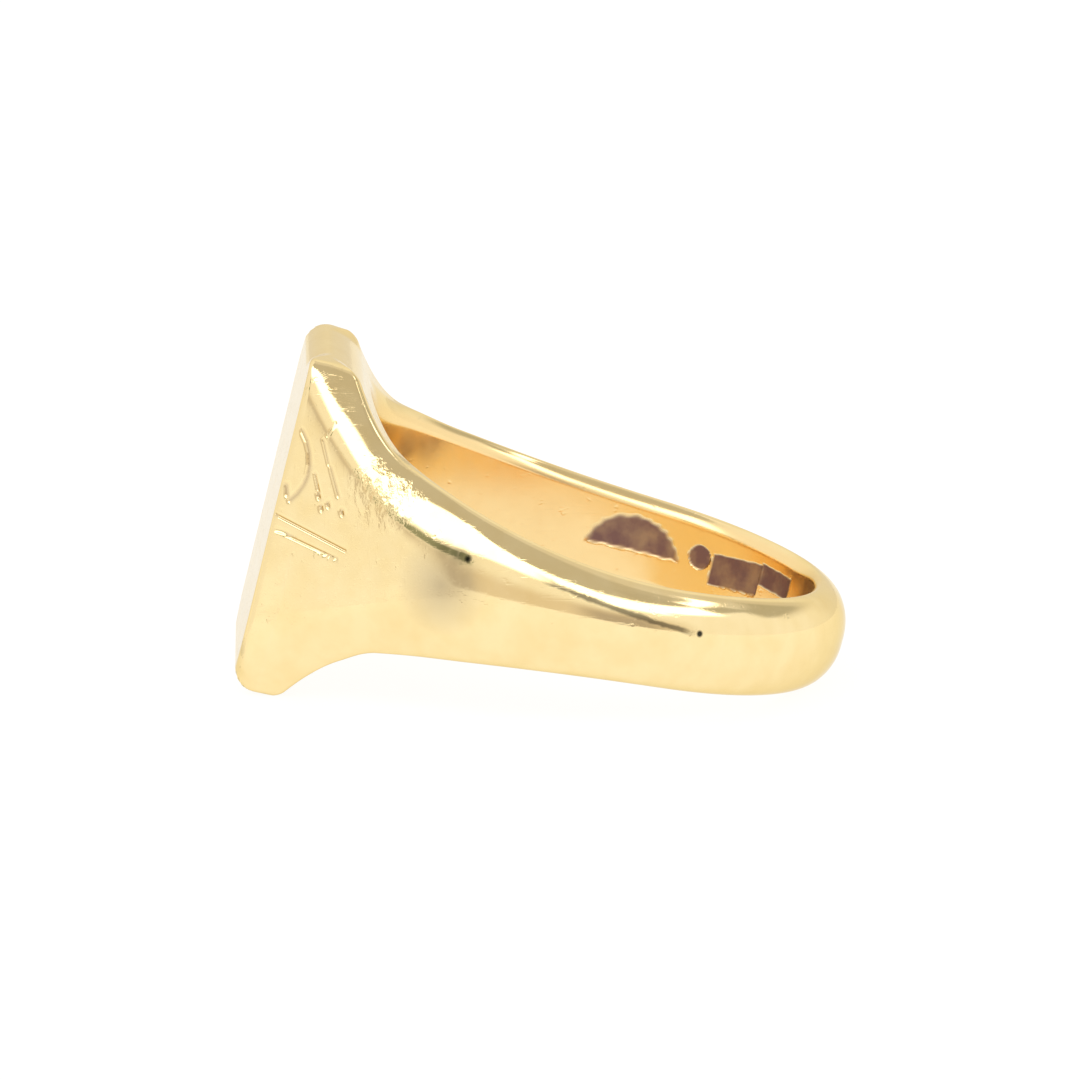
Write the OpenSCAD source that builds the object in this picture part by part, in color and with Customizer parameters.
// Signet ring, lying on its side: bevelled table on a solid head, two tapered
// shoulders and a D-section shank, soldered together.
// Modelled with the finger bore along Z and the table toward -X, then tipped
// about Y by lie_angle so that the head and the shank rest on one plane.
// Origin: centre of the finger bore.

/* [Finger bore] */
// Radius of the finger bore
bore_radius = 8.9; // [7.5:0.1:10.5]
// Height of the rounded comfort edge at the bore's rims
comfort_height = 0.3; // [0.1:0.05:0.4]
// Width of the rounded comfort edge at the bore's rims
comfort_width = 0.3; // [0.2:0.05:0.4]

/* [Shank] */
// Half the width of the shank at its back
shank_half_width = 1.87; // [1.4:0.01:2.4]
// Thickness of the shank
shank_thickness = 1.55; // [1.3:0.05:2.0]
// Angle from the back of the ring to each shoulder seam
seam_angle = 60; // [40:1:75]
// Depth over which the band's outer surface is rounded
round_depth = 1.3; // [0.9:0.05:1.3]

/* [Head] */
// Distance from the bore's axis to the face of the table
face_distance = 11.8; // [11.4:0.05:12.5]
// Half the height of the head along the finger
head_half_height = 6.35; // [5.6:0.05:7]
// Thickness of the table plate
table_thickness = 0.9; // [0.6:0.05:1.0]
// Half the width of the head block between the shoulders
block_half_width = 3.4; // [2.6:0.1:3.8]

/* [Shoulders] */
// Angle from the back at which the curved band becomes the straight flank
flank_angle = 122; // [118:0.5:126]
// Where the gentle widening of the shank starts, along X
sweep_start = 3.5; // [2:0.1:5]
// How strongly the shank widens in the gentle sweep
sweep_gain = 0.0145; // [0.012:0.0005:0.017]
// Where the quick flare into the head starts, along X
flare_start = -7.4; // [-7.8:0.1:-6.8]
// How strongly the shoulders flare into the head
flare_gain = 0.26; // [0.2:0.01:0.3]
// Where the flat facet of the flank runs out, along X
facet_end = -5; // [-5.6:0.1:-4.6]
// How quickly the flat facet of the flank grows toward the table
facet_gain = 0.5; // [0.3:0.05:0.6]
// Tilt of the bevel above the flat facet
bevel_tilt = 28; // [20:1:35]
// Height of the bevel's lower edge where the facet runs out
bevel_start = 1.6; // [1.3:0.05:1.8]
// How quickly the bevel climbs toward the table
bevel_gain = 0.09; // [0.07:0.005:0.1]

/* [Joints] */
// Thickness of each soldered seam
seam = 0.12; // [0.08:0.01:0.2]

/* [Hidden] */

gold = [0.93, 0.78, 0.45];
solder_gold = [0.88, 0.76, 0.50];
NEAR = -1;
FAR = 1;

// Plan of the flank: tangent to the band at flank_angle, running to the table.
side_radius = bore_radius + shank_thickness;
tangent_point = side_radius * [cos(flank_angle), sin(flank_angle)];
flank_run = [-sin(flank_angle), cos(flank_angle)];
flank_normal = [-flank_run[1], flank_run[0]];
back_plane = -face_distance + table_thickness;
body_plane = back_plane + seam;
function flank_y(x) = tangent_point[1] + (x - tangent_point[0]) * flank_run[1] / flank_run[0];
function behind_flank(x, y) = (flank_y(x) - y) * -flank_normal[1];

// Resting tilt: the head's end surface and the shank's edge on one plane.
gains = sweep_gain + flare_gain;
mid_x = (sweep_gain * sweep_start + flare_gain * flare_start) / gains;
cap_rise = head_half_height - shank_half_width - sweep_gain * sq(sweep_start) - flare_gain * sq(flare_start);
cap_inner_x = mid_x - sqrt(sq(mid_x) + cap_rise / gains);
rest_x = bore_radius + comfort_width;
lie_angle = atan((head_half_height - shank_half_width) / (rest_x - cap_inner_x));

// How finely the surfaces are divided.
rounding_steps = 12;
comfort_steps = 4;
band_step = 6;
flank_steps = 18;
corner_steps = 6;
block_steps = 10;
table_steps = 3;
blend = 0.5;
min_facet = 0.15;
inner_reach = 0.6;

function clamp01(v) = min(1, max(0, v));
function ease(v) = clamp01(v) * clamp01(v) * (3 - 2 * clamp01(v));
function soft_min(a, b, r) = let (h = max(r - abs(a - b), 0) / r) min(a, b) - h * h * r / 4;
function sq(v) = v * v;

// Half height of the rim above the mid-plane at distance x along X, before the head's ends cut it.
function rim_height(x) = shank_half_width + sweep_gain * sq(max(0, sweep_start - x))
    + flare_gain * sq(max(0, flare_start - x));

// Height of the flat facet's upper edge, and of the body's skin at a depth behind the flank.
function facet_height(x) = min_facet + facet_gain * max(0, facet_end - x);
function rounded(x, e) = facet_height(x) + (rim_height(x) - facet_height(x))
    * sqrt(max(0, 1 - sq(1 - clamp01(e / round_depth))));
function bevelled(x, e) = bevel_start + bevel_gain * sq(max(0, facet_end - x)) + e / tan(bevel_tilt);
function skin_height(x, e) = soft_min(
    soft_min(rounded(x, e), bevelled(x, e), blend), head_half_height, blend);

// Drop of the top surface toward the bore, for the comfort edge.
function comfort_drop(r) = r >= bore_radius + comfort_width ? 0
    : r >= bore_radius ? comfort_height * (1 - sqrt(max(0, 1 - sq(1 - (r - bore_radius) / comfort_width))))
    : comfort_height + (bore_radius - r);

// Depth along direction n from c at which the distance to the axis is r.
function depth_at(c, n, r) = let (b = c * n, q = b * b - c * c + r * r) -b - sqrt(max(0, q));

// A station is [outer point, inward direction, share of depth that is across the flank,
// depth already behind the flank's surface].
function top_height(s, d) = let (p = s[0] + s[1] * d)
    skin_height(p[0], s[3] + d * s[2]) - comfort_drop(norm(p));

// Depths sampled across a station, from the outer surface to inside the bore.
function depths(s) = let (
    inner = depth_at(s[0], s[1], bore_radius + comfort_width),
    reach = min(round_depth / s[2], inner - 0.02))
    concat(
        [for (j = [0 : rounding_steps]) reach * (1 - cos(90 * j / rounding_steps))],
        [for (j = [1 : comfort_steps]) depth_at(s[0], s[1],
            bore_radius + comfort_width * sq(1 - (j - 0.5) / comfort_steps))],
        [depth_at(s[0], s[1], bore_radius - inner_reach)]);

function section(s) = let (ds = depths(s), m = len(ds) - 1)
    concat(
        [for (j = [m : -1 : 0])
            [s[0][0] + s[1][0] * ds[j], s[0][1] + s[1][1] * ds[j], -top_height(s, ds[j])]],
        [for (j = [0 : m]) [s[0][0] + s[1][0] * ds[j], s[0][1] + s[1][1] * ds[j], top_height(s, ds[j])]]);

// Closed solid through sections of equally many points, with planar ends.
module loft(rings, side) {
    n = len(rings[0]);
    last = len(rings) - 1;
    points = [for (r = rings) for (p = r) [p[0], side * p[1], p[2]]];
    walls = [for (i = [0 : last - 1]) for (j = [0 : n - 1])
        let (a = i * n + j, b = i * n + (j + 1) % n, c = a + n, d = b + n)
        each [[a, b, d], [a, d, c]]];
    ends = [for (i = [0, last]) for (j = [0 : n / 2 - 2])
        let (a = i * n + j, b = a + 1, c = i * n + n - 2 - j, d = c + 1)
        each (i == 0 ? [[a, d, c], [a, c, b]] : [[a, c, d], [a, b, c]])];
    faces = concat(walls, ends);
    polyhedron(points = points,
        faces = side > 0 ? faces : [for (f = faces) [f[2], f[1], f[0]]]);
}

module loft_stations(stations, side) {
    loft([for (s = stations) section(s)], side);
}

module bored() {
    difference() {
        children();
        cylinder(h = 4 * head_half_height, r = bore_radius, center = true, $fn = 180);
    }
}

module lie_down() {
    rotate([0, lie_angle, 0]) children();
}

// Stations of the round band at angle a, of the flank, of the corner and behind the table.
function band_station(a) = [side_radius * [cos(a), sin(a)], [-cos(a), -sin(a)], 1, 0];
function toward_bore(c, a, behind) = let (
    b = (bore_radius - inner_reach) * [cos(a), sin(a)],
    n = (b - c) / norm(b - c))
    [c, n, max(0.2, n * flank_normal), behind];
body_half_width = flank_y(body_plane);
block_bore_angle = 180 - asin(block_half_width / (bore_radius - inner_reach));
seam_bore_angle = 180 - asin((block_half_width + seam) / (bore_radius - inner_reach));
corner_bore_angle = seam_bore_angle - 7;
function flank_station(t) = toward_bore(
    tangent_point + ([body_plane, body_half_width] - tangent_point) * t,
    flank_angle + (corner_bore_angle - flank_angle) * t, 0);
function corner_station(t) = let (y = body_half_width + (block_half_width + seam - body_half_width) * t)
    toward_bore([body_plane, y],
        corner_bore_angle + (seam_bore_angle - corner_bore_angle) * t, behind_flank(body_plane, y));
function block_station(y) = [[body_plane, y], [1, 0], flank_normal[0],
    behind_flank(body_plane, abs(y))];

seam_turn = seam / side_radius * 180 / PI;
shoulder_stations = concat(
    [for (a = [seam_angle + seam_turn : (flank_angle - seam_angle - seam_turn) / 11 : flank_angle - 1])
        band_station(a)],
    [for (i = [0 : flank_steps]) flank_station(i / flank_steps)],
    [for (i = [1 : corner_steps]) i == corner_steps
        ? block_station(block_half_width + seam) : corner_station(i / corner_steps)]);

module shoulder(side) {
    bored() loft_stations(shoulder_stations, side);
}

module head_solder(side) {
    bored() loft_stations([block_station(block_half_width + seam), block_station(block_half_width)], side);
}

module shank_solder(side) {
    bored() loft_stations([band_station(seam_angle), band_station(seam_angle + seam_turn)], side);
}

// Section of the head across Y at distance x along X, from one flank to the other.
function across(x) = let (
    half = [for (j = [0 : rounding_steps]) round_depth * (1 - cos(90 * j / rounding_steps))],
    ys = concat([for (e = half) flank_y(x) + e / flank_normal[1]], [0]),
    es = concat(half, [behind_flank(x, 0)]),
    m = len(ys) - 1,
    row = concat([for (j = [0 : m]) [ys[j], es[j]]], [for (j = [m - 1 : -1 : 0]) [-ys[j], es[j]]]))
    concat(
        [for (q = row) [x, q[0], -skin_height(x, q[1])]],
        [for (j = [len(row) - 1 : -1 : 0]) [x, row[j][0], skin_height(x, row[j][1])]]);

// Slab of the head between two planes across X.
module plate(x_from, x_to) {
    loft([for (i = [0 : table_steps]) across(x_to + (x_from - x_to) * i / table_steps)], NEAR);
}

module signet_table() {
    color(gold) lie_down() plate(-face_distance, back_plane);
}

module table_solder() {
    color(solder_gold) lie_down() plate(back_plane, body_plane);
}

module head_block() {
    color(gold) lie_down() bored()
        loft_stations([for (i = [0 : block_steps])
            block_station(block_half_width * (1 - 2 * i / block_steps))], FAR);
}

module near_head_solder() {
    color(solder_gold) lie_down() head_solder(NEAR);
}

module far_head_solder() {
    color(solder_gold) lie_down() head_solder(FAR);
}

module near_shoulder() {
    color(gold) lie_down() shoulder(NEAR);
}

module far_shoulder() {
    color(gold) lie_down() shoulder(FAR);
}

module near_shank_solder() {
    color(solder_gold) lie_down() shank_solder(NEAR);
}

module far_shank_solder() {
    color(solder_gold) lie_down() shank_solder(FAR);
}

module shank_band() {
    color(gold) lie_down() bored()
        loft_stations([for (a = [-seam_angle : band_step : seam_angle]) band_station(a)], FAR);
}

signet_table();
table_solder();
head_block();
near_head_solder();
far_head_solder();
near_shoulder();
far_shoulder();
near_shank_solder();
far_shank_solder();
shank_band();
